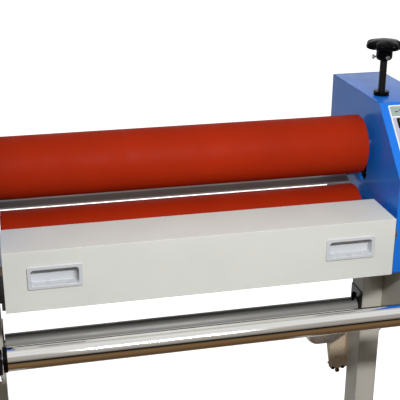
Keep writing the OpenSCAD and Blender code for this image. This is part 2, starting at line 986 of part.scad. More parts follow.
module output_sprocket() {
    color(steel) {
        along_x(sprocket_x, sprocket_x + 6)
            translate([motor_y, motor_z]) sprocket_outline(14, output_tip);
        x_rod(gear_right - 4, sprocket_x, motor_y, motor_z, 6);
    }
}

// ---------------------------------------------------------------- controls

// Round-backed rocker with two flats that meet in a shallow valley
module rocker() {
    rotate([0, 90, 0]) intersection() {
        cylinder(h = rocker_w, r = rocker_r, center = true);
        union() for (s = [-1, 1])
            rotate(s * 12)
                translate([-rocker_r + 1.5, s > 0 ? -rocker_r : 0, -rocker_w])
                    cube([2 * rocker_r, rocker_r, 2 * rocker_w]);
    }
}

module direction_switch() {
    color(black) on_slope(mid_x, switch_up) translate([0, 0, -rocker_sink]) rocker();
}

module speed_knob() {
    color(black) on_slope(mid_x, knob_up) {
        translate([0, 0, -8]) cylinder(h = 10, r = 3);
        translate([0, 0, 1.5]) cylinder(h = 3, r = 14);
        translate([0, 0, 4.5]) cylinder(h = 11, r1 = 12, r2 = 10.5);
    }
}

module power_switch() {
    color("#a01512") translate([mid_x, back_y - rocker_sink, power_z])
        rotate([-80, 0, 0]) rocker();
}

left_column();
right_column();
foot_beams();
foot_end_caps();
levelling_feet();
lower_crossbeam();
shaft_arms();
bottom_tie_plate();
shaft_cradles();
stand_bolts();
left_side_plate();
right_side_plate();
left_side_cover();
right_side_cover();
cover_screws();
spindle_collars();
outfeed_table();
table_slides();
control_panel();
speed_display();
power_inlet();
control_board();
drive_motor();
lower_bearings();
drive_chain();
lift_guides();
takeup_motor();
takeup_gearbox();
chain_case();
takeup_chain();
axle_bushes();
bearing_blocks();
upper_roller_core();
upper_roller_sleeve();
lower_roller_core();
lower_roller_sleeve();
driven_sprocket();
motor_sprocket();
left_handwheel();
left_spindle();
left_hub_screws();
right_handwheel();
right_spindle();
right_hub_screws();
feed_table();
hand_pulls();
table_runners();
supply_tube();
supply_end_rings();
supply_axle();
left_brake_screw();
right_brake_screw();
takeup_tube();
takeup_end_plugs();
takeup_axle();
takeup_lock_knob();
output_sprocket();
direction_switch();
speed_knob();
power_switch();
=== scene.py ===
"""Looks of a cold roll laminator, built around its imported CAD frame. Metres, +X along the rollers, +Z up."""
import json
import math

import bmesh
import bpy
from mathutils import Matrix, Vector

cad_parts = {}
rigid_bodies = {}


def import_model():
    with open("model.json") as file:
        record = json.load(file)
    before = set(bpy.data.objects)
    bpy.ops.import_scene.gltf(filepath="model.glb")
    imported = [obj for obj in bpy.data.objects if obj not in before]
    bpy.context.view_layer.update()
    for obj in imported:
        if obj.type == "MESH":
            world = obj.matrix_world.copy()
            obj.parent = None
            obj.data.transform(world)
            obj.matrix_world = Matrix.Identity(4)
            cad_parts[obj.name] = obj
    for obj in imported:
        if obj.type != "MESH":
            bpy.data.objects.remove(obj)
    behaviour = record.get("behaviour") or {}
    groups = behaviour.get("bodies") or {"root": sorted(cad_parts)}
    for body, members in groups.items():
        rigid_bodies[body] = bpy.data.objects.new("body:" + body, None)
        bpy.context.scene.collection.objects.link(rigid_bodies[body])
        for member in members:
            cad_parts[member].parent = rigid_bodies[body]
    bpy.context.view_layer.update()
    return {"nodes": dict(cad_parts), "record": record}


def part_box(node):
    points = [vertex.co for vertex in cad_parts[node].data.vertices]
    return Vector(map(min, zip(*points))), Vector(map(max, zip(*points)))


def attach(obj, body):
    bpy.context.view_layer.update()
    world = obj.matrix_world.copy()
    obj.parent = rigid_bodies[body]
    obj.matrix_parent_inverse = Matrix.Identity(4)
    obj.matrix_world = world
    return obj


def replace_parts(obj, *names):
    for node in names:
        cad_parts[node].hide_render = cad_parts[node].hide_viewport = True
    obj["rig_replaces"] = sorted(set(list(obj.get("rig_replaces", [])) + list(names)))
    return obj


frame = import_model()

MM = 0.001
NODES = frame["nodes"]
BODY_OF = {n: b for b, ns in frame["record"]["behaviour"]["bodies"].items() for n in ns}
SLOT_OF = {s["node"]: s["material_slot"] for s in frame["record"]["subparts"]}

# ------------------------------------------------------------------ places taken from the frame


def centre(node):
    low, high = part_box(node)
    return (low + high) / 2


ROLLER_Y = centre("upper_roller_sleeve").y
UPPER_Z = centre("upper_roller_sleeve").z
LOWER_Z = centre("lower_roller_sleeve").z
ROLLER_R = (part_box("upper_roller_sleeve")[1].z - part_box("upper_roller_sleeve")[0].z) / 2
COVER_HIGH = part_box("right_side_cover")[1]
PANEL_MID = centre("control_panel")
SPINDLE = centre("right_spindle")
SUPPLY = centre("supply_tube")
TAKEUP = centre("takeup_tube")

# ------------------------------------------------------------------ materials


class Paint:
    """One node-based material: a Principled shader with helpers for masks, colour, gloss and bump."""

    def __init__(self, name, **sockets):
        self.material = bpy.data.materials.new(name)
        self.material.use_nodes = True
        self.tree = self.material.node_tree
        self.shader = self.tree.nodes["Principled BSDF"]
        for socket, value in sockets.items():
            self.shader.inputs[socket.replace("_", " ")].default_value = value
        self.place = self.tree.nodes.new("ShaderNodeTexCoord").outputs["Object"]

    def node(self, kind, **inputs):
        made = self.tree.nodes.new(kind)
        for key, value in inputs.items():
            socket = made.inputs[key]
            if isinstance(value, bpy.types.NodeSocket):
                self.tree.links.new(value, socket)
            else:
                socket.default_value = value
        return made

    def noise(self, scale, detail=3.0, stretch=(1, 1, 1)):
        """Noise over the object's own coordinates, from 0 to 1; scale is in cycles per metre."""
        mapping = self.node("ShaderNodeMapping", Vector=self.place, Scale=stretch)
        made = self.node("ShaderNodeTexNoise", Vector=mapping.outputs[0], Scale=scale, Detail=detail)
        return made.outputs[0]

    def remap(self, source, low, high, to_low, to_high):
        made = self.node("ShaderNodeMapRange", Value=source)
        for key, value in zip(("From Min", "From Max", "To Min", "To Max"), (low, high, to_low, to_high)):
            made.inputs[key].default_value = value
        return made.outputs[0]

    def math(self, operation, a, b):
        made = self.tree.nodes.new("ShaderNodeMath")
        made.operation = operation
        made.use_clamp = operation != "SUBTRACT"
        for socket, value in zip(made.inputs, (a, b)):
            if isinstance(value, bpy.types.NodeSocket):
                self.tree.links.new(value, socket)
            else:
                socket.default_value = value
        return made.outputs[0]

    def mix(self, factor, a, b):
        made = self.tree.nodes.new("ShaderNodeMix")
        made.data_type = "RGBA"
        for socket, value in zip((made.inputs[0], made.inputs[6], made.inputs[7]), (factor, a, b)):
            if isinstance(value, bpy.types.NodeSocket):
                self.tree.links.new(value, socket)
            else:
                socket.default_value = value
        return made.outputs[2]

    def edges(self, radius):
        """Mask that is 1 along convex edges rounder than the radius, broken up by noise."""
        bevel = self.tree.nodes.new("ShaderNodeBevel")
        bevel.samples = 4
        bevel.inputs[0].default_value = radius
        geometry = self.tree.nodes.new("ShaderNodeNewGeometry")
        dot = self.tree.nodes.new("ShaderNodeVectorMath")
        dot.operation = "DOT_PRODUCT"
        self.tree.links.new(bevel.outputs[0], dot.inputs[0])
        self.tree.links.new(geometry.outputs["Normal"], dot.inputs[1])
        edge = self.remap(dot.outputs["Value"], 0.99, 0.86, 0.0, 1.0)
        broken = self.remap(self.noise(90, 4), 0.48, 0.66, 0.0, 1.0)
        return self.math("MULTIPLY", edge, broken)

    def bump(self, height, distance, strength=1.0):
        made = self.node("ShaderNodeBump", Height=height, Distance=distance, Strength=strength)
        previous = self.shader.inputs["Normal"]
        if previous.is_linked:
            self.tree.links.new(previous.links[0].from_socket, made.inputs["Normal"])
        self.tree.links.new(made.outputs[0], previous)

    def link(self, source, socket):
        self.tree.links.new(source, self.shader.inputs[socket])


def rgb(red, green, blue):
    return (red, green, blue, 1.0)


def shade(colour, factor):
    return rgb(*(channel * factor for channel in colour[:3]))


def painted_sheet(name, colour, edge_colour, rough, grain, height, coat=0.0, wear_and_highlight=0.6, **sockets):
    """Sprayed or powder-coated steel: orange peel, faint handling marks, and edges shifted towards a second
    colour: worn paint on some finishes, a painted highlight along the edges on others.
    """
    p = Paint(name, Coat_Weight=coat, Coat_Roughness=0.05, **sockets)
    cloud = p.remap(p.noise(5, 4), 0.3, 0.7, 0.0, 1.0)
    base = p.mix(cloud, shade(colour, 0.95), shade(colour, 1.04))
    specks = p.remap(p.noise(420, 2), 0.68, 0.80, 0.0, 0.35)
    base = p.mix(specks, base, shade(colour, 0.82))
    # edge colour along edges: primer through worn paint on beige and grey, grey metal on black_metal, a
    # lighter blue on blue_enamel, and a painted highlight along the edges on white_paint and dark_sheet
    edge_wear_and_highlight = p.math("MULTIPLY", p.edges(1.2 * MM), wear_and_highlight)
    p.link(p.mix(edge_wear_and_highlight, base, edge_colour), "Base Color")
    p.link(p.remap(p.noise(18, 5), 0.3, 0.7, rough * 0.82, rough * 1.2), "Roughness")
    p.bump(p.noise(grain, 2), height)
    return p.material


def silicone():
    """Ground silicone sleeve: fine rings from the grinding stone, a dusty bloom, soft gloss and a painted
    highlight on its end edges.
    """
    colour = rgb(0.33, 0.018, 0.0025)
    p = Paint("silicone", Specular_IOR_Level=0.06)
    rings = p.noise(420, 3, stretch=(1, 0.02, 0.02))
    bloom = p.remap(p.noise(9, 5), 0.35, 0.72, 0.0, 1.0)
    base = p.mix(bloom, shade(colour, 0.93), shade(colour, 1.07))
    ground = p.mix(p.remap(rings, 0.35, 0.65, 0.0, 0.22), base, shade(colour, 0.84))
    # painted highlight: the sleeve's rounded end edges are mixed towards a lighter red
    end_edge_highlight = p.math("MULTIPLY", p.edges(2.5 * MM), 0.6)
    p.link(p.mix(end_edge_highlight, ground, rgb(0.55, 0.16, 0.10)), "Base Color")
    p.link(p.remap(p.noise(30, 4, stretch=(1, 0.3, 0.3)), 0.3, 0.7, 0.50, 0.64), "Roughness")
    p.bump(rings, 0.00003, 0.8)
    p.bump(p.noise(900, 2), 0.00002, 0.6)
    return p.material


def bright_metal(name, colour, rough, stretch, scale=700, height=0.000006, smudge=0.35):
    """Plated or machined metal with fine marks along one direction and faint finger smudges."""
    p = Paint(name, Metallic=1.0)
    marks = p.noise(scale, 4, stretch=stretch)
    smudges = p.remap(p.noise(14, 5), 0.45, 0.75, 0.0, smudge)
    p.link(p.mix(smudges, colour, shade(colour, 0.86)), "Base Color")
    streaks = p.remap(marks, 0.3, 0.7, rough * 0.7, rough * 1.35)
    p.link(p.math("ADD", streaks, p.math("MULTIPLY", smudges, 0.12)), "Roughness")
    p.bump(marks, height)
    return p.material


def moulded(name, colour, rough, grain, height, coat=0.0, dust=0.25, **sockets):
    """Moulded plastic with a fine spark-eroded grain, rubbed brighter on the edges."""
    p = Paint(name, Coat_Weight=coat, Coat_Roughness=0.05, **sockets)
    cloud = p.remap(p.noise(25, 4), 0.35, 0.7, 0.0, dust)
    base = p.mix(cloud, colour, rgb(*(c * 0.85 + 0.02 for c in colour[:3])))
    rubbed = p.math("MULTIPLY", p.edges(0.8 * MM), 0.4)
    p.link(p.mix(rubbed, base, rgb(*(c * 0.7 + 0.06 for c in colour[:3]))), "Base Color")
    p.link(p.remap(p.noise(60, 4), 0.3, 0.7, rough * 0.8, rough * 1.25), "Roughness")
    p.bump(p.noise(grain, 3), height)
    return p.material


def casting(name, colour, metallic):
    """Cast housing: pebbled skin under thin paint or oxide, darker in its hollows."""
    p = Paint(name, Metallic=metallic)
    pits = p.noise(260, 5)
    p.link(p.mix(p.remap(pits, 0.35, 0.65, 0.0, 1.0), shade(colour, 0.78), shade(colour, 1.08)), "Base Color")
    p.link(p.remap(p.noise(40, 4), 0.3, 0.7, 0.38, 0.60), "Roughness")
    p.bump(pits, 0.00015, 0.7)
    return p.material


def printed_film(name, colour):
    """Printed polyester film: even ink, satin pebble, slight rubbing."""
    p = Paint(name, Specular_IOR_Level=0.5)
    cloud = p.remap(p.noise(45, 4), 0.35, 0.7, 0.0, 1.0)
    p.link(p.mix(cloud, shade(colour, 0.94), shade(colour, 1.04)), "Base Color")
    p.link(p.remap(p.noise(120, 3), 0.3, 0.7, 0.28, 0.42), "Roughness")
    p.bump(p.noise(2600, 2), 0.00001)
    return p.material


def lit_segment():
    p = Paint("lit_segment", Roughness=0.3, Emission_Color=rgb(1.0, 0.05, 0.03), Emission_Strength=1.6)
    glow = p.remap(p.noise(300, 2), 0.3, 0.7, 0.0, 1.0)
    p.link(p.mix(glow, rgb(0.8, 0.03, 0.02), rgb(1.0, 0.08, 0.05)), "Base Color")
    return p.material


def circuit_board():
    p = Paint("circuit_board", Specular_IOR_Level=0.5)
    tracks = p.noise(260, 1, stretch=(1, 0.15, 1))
    copper = p.remap(tracks, 0.50, 0.54, 0.0, 1.0)
    p.link(p.mix(copper, rgb(0.01, 0.09, 0.03), rgb(0.03, 0.2, 0.07)), "Base Color")
    p.link(p.remap(tracks, 0.3, 0.7, 0.3, 0.5), "Roughness")
    p.bump(tracks, 0.00003)
    return p.material


PRIMER = rgb(0.42, 0.43, 0.44)
MATERIALS = {
    "blue_enamel": painted_sheet("blue_enamel", rgb(0.011, 0.168, 0.68), rgb(0.10, 0.28, 0.72), 0.30,
                                 240, 0.00004, coat=0.12, wear_and_highlight=0.5, Specular_IOR_Level=0.14),
    "beige_paint": painted_sheet("beige_paint", rgb(0.55, 0.53, 0.475), PRIMER, 0.42, 900, 0.00004,
                                 Specular_IOR_Level=0.3),
    # white_paint: its near-white edge colour at full share paints a highlight along the edges
    "white_paint": painted_sheet("white_paint", rgb(0.65, 0.66, 0.625), rgb(0.92, 0.92, 0.90), 0.36,
                                 900, 0.00003, wear_and_highlight=1.0, Specular_IOR_Level=0.35),
    "grey_sheet": painted_sheet("grey_sheet", rgb(0.24, 0.24, 0.23), PRIMER, 0.45, 900, 0.00004),
    # dark_sheet: its pale grey edge colour at full share paints a highlight along the edges
    "dark_sheet": painted_sheet("dark_sheet", rgb(0.20, 0.165, 0.145), rgb(0.60, 0.60, 0.58), 0.38,
                                600, 0.00003, wear_and_highlight=1.0),
    "bare_steel": bright_metal("bare_steel", rgb(0.55, 0.56, 0.57), 0.30, (0.05, 1, 1)),
    "chrome_tube": bright_metal("chrome_tube", rgb(0.74, 0.73, 0.71), 0.11, (0.004, 1, 1), scale=260,
                                height=0.00004, smudge=0.25),
    "pull_metal": moulded("pull_metal", rgb(0.56, 0.58, 0.61), 0.30, 700, 0.00002, coat=0.3, dust=0.15),
    "silicone": silicone(),
    "black_gloss": moulded("black_gloss", rgb(0.002, 0.002, 0.0025), 0.20, 700, 0.00002, coat=0.0,
                           dust=0.01, Specular_IOR_Level=0.06),
    "black_matte": moulded("black_matte", rgb(0.018, 0.018, 0.018), 0.55, 1500, 0.00005),
    "black_metal": painted_sheet("black_metal", rgb(0.008, 0.008, 0.0085), rgb(0.3, 0.3, 0.3), 0.30,
                                 500, 0.00003, wear_and_highlight=0.4, Specular_IOR_Level=0.2),
    "cast_grey": casting("cast_grey", rgb(0.68, 0.55, 0.42), 0.0),
    "motor_alu": casting("motor_alu", rgb(0.55, 0.55, 0.55), 0.85),
    "panel_film": printed_film("panel_film", rgb(0.42, 0.43, 0.52)),
    "panel_border": printed_film("panel_border", rgb(0.78, 0.80, 0.84)),
    "panel_strip": printed_film("panel_strip", rgb(0.30, 0.38, 0.34)),
    "panel_ink": printed_film("panel_ink", rgb(0.03, 0.035, 0.05)),
    "display_red": moulded("display_red", rgb(0.42, 0.010, 0.008), 0.12, 900, 0.000004, coat=0.6),
    "lit_segment": lit_segment(),
    "circuit_board": circuit_board(),
    "switch_red": moulded("switch_red", rgb(0.45, 0.015, 0.01), 0.25, 900, 0.00002, coat=0.4),
}

# ------------------------------------------------------------------ mesh helpers


def finish_piece(name, mesh, node, material=None, replaces=True, sharp=35.0):
    """Turns a mesh into a piece that rides on the node's body, with smooth shading up to the sharp angle."""
    mesh.shade_smooth()
    mesh.set_sharp_from_angle(angle=math.radians(sharp))
    piece = bpy.data.objects.new(name, mesh)
    bpy.context.scene.collection.objects.link(piece)
    slot = SLOT_OF[node]
    mesh.materials.clear()
    mesh.materials.append(MATERIALS[material or slot])
    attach(piece, BODY_OF[node])
    if replaces:
        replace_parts(piece, node)
    return piece


def to_mesh(name, bm):
    bmesh.ops.recalc_face_normals(bm, faces=bm.faces)
    mesh = bpy.data.meshes.new(name)
    bm.to_mesh(mesh)
    bm.free()
    return mesh


def apply_modifiers(piece):
    """Replaces a piece's mesh by the result of its modifiers."""
    graph = bpy.context.evaluated_depsgraph_get()
    made = bpy.data.meshes.new_from_object(piece.evaluated_get(graph))
    piece.modifiers.clear()
    piece.data = made
    return piece


def soften(node, width, segments=2, material=None):
    """Copies a CAD node with rounded edges: planar triangles are merged, then sharp edges are bevelled."""
    bm = bmesh.new()
    bm.from_mesh(NODES[node].data)
    bmesh.ops.remove_doubles(bm, verts=bm.verts, dist=0.000005)
    bmesh.ops.dissolve_limit(bm, angle_limit=math.radians(0.6), verts=bm.verts, edges=bm.edges)
    piece = finish_piece(node + "_skin", to_mesh(node + "_skin", bm), node, material)
    bevel = piece.modifiers.new("edges", "BEVEL")
    bevel.width = width
    bevel.segments = segments
    bevel.limit_method = "ANGLE"
    bevel.angle_limit = math.radians(34)
    bevel.use_clamp_overlap = False
    bevel.harden_normals = True
    return apply_modifiers(piece)


def lathe_mesh(bm, profile, origin, axis, segments=96, radius_at=None):
    """Adds a turned shape: profile is (distance along the axis, radius) pairs; radius 0 closes an end."""
    axis = Vector(axis).normalized()
    side = axis.orthogonal().normalized()
    other = axis.cross(side)
    rings = []
    for along, radius in profile:
        if radius < 1e-6:
            rings.append([bm.verts.new(Vector(origin) + axis * along)])
            continue
        ring = []
        for i in range(segments):
            angle = 2 * math.pi * i / segments
            r = radius_at(radius, angle) if radius_at else radius
            ring.append(bm.verts.new(Vector(origin) + axis * along
                                     + (side * math.cos(angle) + other * math.sin(angle)) * r))
        rings.append(ring)
    for a, b in zip(rings, rings[1:]):
        for i in range(segments):
            j = (i + 1) % segments
            corners = [a[i % len(a)], a[j % len(a)], b[j % len(b)], b[i % len(b)]]
            unique = list(dict.fromkeys(corners))
            if len(unique) > 2:
                bm.faces.new(unique)


def rounded(profile, radius, steps=4):
    """Rounds the inner corners of an open outline of 2-D points by arcs of about the given radius."""
    result = [Vector(profile[0])]
    for before, corner, after in zip(profile, profile[1:], profile[2:]):
        before, corner, after = Vector(before), Vector(corner), Vector(after)
        to_before, to_after = before - corner, after - corner
        reach = min(radius, to_before.length * 0.45, to_after.length * 0.45)
        start = corner + to_before.normalized() * reach
        end = corner + to_after.normalized() * reach
        for i in range(steps + 1):
            t = i / steps
            result.append(start * (1 - t) ** 2 + corner * 2 * t * (1 - t) + end * t ** 2)
    result.append(Vector(profile[-1]))
    return [tuple(p) for p in result]


def turned(name, node, profile, origin, axis=(1, 0, 0), material=None, replaces=True, **options):
    bm = bmesh.new()
    lathe_mesh(bm, profile, origin, axis, **options)
    return finish_piece(name, to_mesh(name, bm), node, material, replaces)


def sheet_shell(bm, thickness):
    """Gives an open surface its sheet thickness, inwards."""
    bmesh.ops.recalc_face_normals(bm, faces=bm.faces)
    bmesh.ops.solidify(bm, geom=bm.faces[:], thickness=thickness)

# ------------------------------------------------------------------ side boxes

SHEET = 1.5 * MM
BEND_R = 3 * MM


def side_cover(side):
    """Folded cover of a side box: outline band and outer wall in one skin with rounded bends."""
    node = side + "_side_cover"
    low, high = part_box(node)
    inner, outer = (low.x, high.x) if side == "right" else (high.x, low.x)
    slope_run = high.z - BEND_Z
    outline = [(low.y, low.z), (high.y, low.z), (high.y, high.z), (low.y + slope_run, high.z),
               (low.y, BEND_Z)]
    bm = bmesh.new()
    near = [bm.verts.new((outer, y, z)) for y, z in outline]
    far = [bm.verts.new((inner, y, z)) for y, z in outline]
    bm.faces.new(near)
    for i in range(len(outline)):
        j = (i + 1) % len(outline)
        bm.faces.new((near[i], near[j], far[j], far[i]))
    bmesh.ops.recalc_face_normals(bm, faces=bm.faces)
    folds = [e for e in bm.edges if len(e.link_faces) == 2]
    bmesh.ops.bevel(bm, geom=folds, offset=BEND_R, segments=4, profile=0.5, affect="EDGES")
    sheet_shell(bm, SHEET)
    return finish_piece(node + "_skin", to_mesh(node, bm), node, sharp=25)


# height of the bend between a box's upright front and its slope: the slope rises at 45 degrees
BEND_Z = COVER_HIGH.z - 116 * MM
for side in ("left", "right"):
    side_cover(side)
    soften(side + "_side_plate", 0.5 * MM)


SPINDLE_R = 7 * MM
SPINDLE_BORE_R = 7.4 * MM
COLLAR_R = 15 * MM


def collars():
    """A turned ring round each spindle, standing on its box."""
    top = COVER_HIGH.z
    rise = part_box("spindle_collars")[1].z - top
    profile = rounded([(0, SPINDLE_BORE_R), (0, COLLAR_R), (rise, COLLAR_R), (rise, SPINDLE_BORE_R)],
                      1.2 * MM)
    bm = bmesh.new()
    for x in (-SPINDLE.x, SPINDLE.x):
        lathe_mesh(bm, profile, (x, ROLLER_Y, top), (0, 0, 1))
    return finish_piece("spindle_collar_rings", to_mesh("collars", bm), "spindle_collars")


collars()

# ------------------------------------------------------------------ control panel

UP_SLOPE = Vector((0, math.sqrt(0.5), math.sqrt(0.5)))
OUT_SLOPE = Vector((0, -math.sqrt(0.5), math.sqrt(0.5)))
PANEL_TOP = 1 * MM
panel_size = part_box("control_panel")[1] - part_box("control_panel")[0]
PANEL_W = panel_size.x
PANEL_L = (panel_size.y - PANEL_TOP * math.sqrt(0.5)) * math.sqrt(2)
PANEL_FACE = PANEL_MID + OUT_SLOPE * PANEL_TOP / 2


def slope_point(across, up, out=0.0):
    """Point on the panel's face: across and up from its centre, and out of it."""
    return PANEL_FACE + Vector((across, 0, 0)) + UP_SLOPE * up + OUT_SLOPE * out


def slope_plate(name, across, up, width, length, thickness, material, corner=1.0 * MM, out=0.0,
                node="control_panel", replaces=False):
    """Thin plate with round corners, laid on the panel's face."""
    bm = bmesh.new()
    outline = []
    for sx, sy, start in ((1, 1, 0), (-1, 1, 90), (-1, -1, 180), (1, -1, 270)):
        for i in range(6):
            angle = math.radians(start + 18 * i)
            outline.append((across + sx * (width / 2 - corner) + corner * math.cos(angle),
                            up + sy * (length / 2 - corner) + corner * math.sin(angle)))
    base = bm.faces.new([bm.verts.new(slope_point(a, u, out)) for a, u in outline])
    top = bmesh.ops.extrude_face_region(bm, geom=[base])
    for v in (g for g in top["geom"] if isinstance(g, bmesh.types.BMVert)):
        v.co += OUT_SLOPE * thickness
    return finish_piece(name, to_mesh(name, bm), node, material, replaces=replaces)


STRIP = 21 * MM
BORDER = 2.5 * MM
INK = 0.12 * MM
slope_plate("control_panel_plate", 0, 0, PANEL_W, PANEL_L, PANEL_TOP, "panel_border", 3 * MM,
            out=-PANEL_TOP, replaces=True)
field_w = PANEL_W - 2 * BORDER
strip_up = PANEL_L / 2 - BORDER - STRIP / 2
field_l = PANEL_L - 3 * BORDER - STRIP
field_up = -PANEL_L / 2 + BORDER + field_l / 2
slope_plate("panel_title_strip", 0, strip_up, field_w, STRIP, INK, "panel_strip")
slope_plate("panel_key_field", 0, field_up, field_w, field_l, INK, "panel_film")
# plain bars of ink in the title strip and beside the controls, with no lettering
for i in range(7):
    slope_plate(f"panel_title_bar_{i}", (-27 + 9 * i) * MM, strip_up + (2 if i % 2 else -1) * MM,
                6 * MM, 2.4 * MM, INK, "panel_ink", 0.8 * MM, out=INK)
for i, up in enumerate((-11, -49)):
    for k, across in enumerate((-26, 26)):
        slope_plate(f"panel_mark_{i}_{k}", across * MM, up * MM, 10 * MM, 1.8 * MM, INK, "panel_ink",
                    0.6 * MM, out=INK)


def display():
    """Bezel, window and four lit seven-segment digits."""
    up = (centre("speed_display") - PANEL_MID).dot(UP_SLOPE)
    soften("speed_display", 0.5 * MM, material="black_gloss")
    slope_plate("display_window", 0, up, 54 * MM, 15 * MM, 0.3 * MM, "display_red", 1 * MM, out=2 * MM,
                node="speed_display")
    long, thick, pitch = 5.0 * MM, 0.9 * MM, 12 * MM
    segments = [(0, 1, True), (-0.5, 0.5, False), (0.5, 0.5, False), (0, 0, True),
                (-0.5, -0.5, False), (0.5, -0.5, False), (0, -1, True)]
    lit = {"0": (0, 1, 2, 4, 5, 6), "1": (2, 5), "2": (0, 2, 3, 4, 6)}
    for place, digit in enumerate("0120"):
        for s in lit[digit]:
            dx, dy, flat = segments[s]
            width, length = (long * 0.8, thick) if flat else (thick, long * 0.8)
            slope_plate(f"digit_{place}_{s}", (place - 1.5) * pitch + dx * long, up + dy * long,
                        width, length, 0.15 * MM, "lit_segment", 0.3 * MM, out=2.3 * MM,
                        node="speed_display")


display()


def dial_knob():
    """Fluted speed knob with a pointer line."""
    low_axis = slope_point(0, (centre("speed_knob") - PANEL_MID).dot(UP_SLOPE))
    body = rounded([(0.5 * MM, 0), (0.5 * MM, 14 * MM), (3 * MM, 14 * MM), (3.5 * MM, 12 * MM),
                    (13.5 * MM, 10.5 * MM), (14.4 * MM, 8.5 * MM), (14.4 * MM, 0)], 0.9 * MM)

    def flutes(radius, angle):
        if 8.6 * MM < radius < 13.2 * MM:
            return radius - 0.5 * MM * (0.5 + 0.5 * math.cos(18 * angle)) ** 2
        return radius

    turned("speed_knob_cap", "speed_knob", body, low_axis, OUT_SLOPE, segments=180, radius_at=flutes)
    up = (low_axis - PANEL_FACE).dot(UP_SLOPE)
    slope_plate("speed_knob_pointer", 0, up + 5 * MM, 1.2 * MM, 7 * MM, 0.3 * MM, "panel_border",
                0.4 * MM, out=14.35 * MM, node="speed_knob")


dial_knob()
soften("direction_switch", 0.6 * MM, 3)
soften("power_switch", 0.6 * MM, 3)
soften("power_inlet", 0.6 * MM)

# ------------------------------------------------------------------ rollers


SLEEVE_WALL = 8 * MM


def roller_sleeve(node, z):
    low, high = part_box(node)
    half = (high.x - low.x) / 2
    bore = ROLLER_R - SLEEVE_WALL
    profile = rounded([(-half, bore), (-half, ROLLER_R), (half, ROLLER_R), (half, bore)], 1.6 * MM)
    turned(node + "_ground", node, profile, (0, ROLLER_Y, z), segments=160)


roller_sleeve("upper_roller_sleeve", UPPER_Z)
roller_sleeve("lower_roller_sleeve", LOWER_Z)
for node in ("upper_roller_core", "lower_roller_core"):
    soften(node, 0.8 * MM)

# ------------------------------------------------------------------ handwheels


LOBES = 7
LOBE_DEPTH = 7.4 * MM
# one lobe points along -X, which is this far on from where a turned shape's rings start
LOBE_PHASE = math.radians(135)
DOME_SHARES = (0.88, 0.7, 0.5, 0.3, 0.1)


def handwheel(side, x):
    """Lobed moulded wheel with a shallow domed top on a stepped hub."""
    low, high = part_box(side + "_handwheel")
    radius = x - low.x
    hub, rim_low, rim_high = 15.5 * MM, 21 * MM, 35 * MM
    top = high.z - low.z
    dome_curve = (top - rim_high) / (radius - 4 * MM) ** 2
    outline = [(0, SPINDLE_BORE_R), (0, 12.5 * MM), (4 * MM, hub), (rim_low, hub),
               (rim_low, radius * 0.80), (rim_low + 3 * MM, radius), (rim_high - 3.5 * MM, radius)]
    outline += [(top - dome_curve * (radius * share) ** 2, radius * share) for share in DOME_SHARES]
    outline.append((top, 0))

    def lobes(r, angle):
        share = max(0.0, (r - hub) / (radius - hub))
        wave = math.cos(LOBES * (angle - LOBE_PHASE))
        return r - LOBE_DEPTH * share * (0.5 - 0.5 * wave) ** 1.6

    turned(side + "_handwheel_moulding", side + "_handwheel", rounded(outline, 2.6 * MM, 5),
           (x, ROLLER_Y, low.z), (0, 0, 1), segments=210, radius_at=lobes)


for side, x in (("left", -SPINDLE.x), ("right", SPINDLE.x)):
    handwheel(side, x)
    low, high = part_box(side + "_spindle")
    reach = high.z - low.z
    turned(side + "_spindle_turned", side + "_spindle",
           rounded([(0, 0), (0, SPINDLE_R), (reach, SPINDLE_R), (reach, 0)], 0.8 * MM),
           (x, ROLLER_Y, low.z), (0, 0, 1), segments=64)
    soften(side + "_hub_screws", 0.4 * MM)

# ------------------------------------------------------------------ feed table

soften("feed_table", 0.6 * MM, 3)
soften("hand_pulls", 1.0 * MM, 3, material="pull_metal")
soften("table_runners", 0.4 * MM)
soften("table_slides", 0.3 * MM)
soften("outfeed_table", 0.4 * MM)

# ------------------------------------------------------------------ supply and take-up shafts


TUBE_R = 20 * MM
TUBE_WALL = 2 * MM


def plain_tube(node, place):
    low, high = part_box(node)
    half = (high.x - low.x) / 2
    radius, inner = TUBE_R, TUBE_R - TUBE_WALL
    profile = rounded([(-half, inner), (-half, radius), (half, radius), (half, inner), (-half, inner)],
                      0.5 * MM)
    turned(node + "_turned", node, profile, (0, place.y, place.z), segments=128)


plain_tube("supply_tube", SUPPLY)
plain_tube("takeup_tube", TAKEUP)


def threaded_screw(node):
    """Brake screw with a rolled thread and a knurled head."""
    low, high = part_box(node)
    place = centre(node)
    head, reach, radius, pitch = 8 * MM, high.z - low.z, 3 * MM, 1.25 * MM
    profile = [(0, 0), (0, 4.4 * MM), (0.6 * MM, 5 * MM), (head - 0.6 * MM, 5 * MM), (head, 4.4 * MM),
               (head, radius)]
    turns = int((reach - head) / pitch)
    for i in range(turns):
        start = head + pitch * i
        profile += [(start + pitch * 0.25, radius * 0.86), (start + pitch * 0.75, radius)]
    profile += [(reach, radius * 0.8), (reach, 0)]
    turned(node + "_threaded", node, profile, (place.x, place.y, low.z), (0, 0, 1), segments=48,
           radius_at=lambda r, a: r - 0.25 * MM * (r > 4.6 * MM) * (0.5 + 0.5 * math.cos(24 * a)))


threaded_screw("left_brake_screw")
threaded_screw("right_brake_screw")

# ------------------------------------------------------------------ stand and the rest of the frame

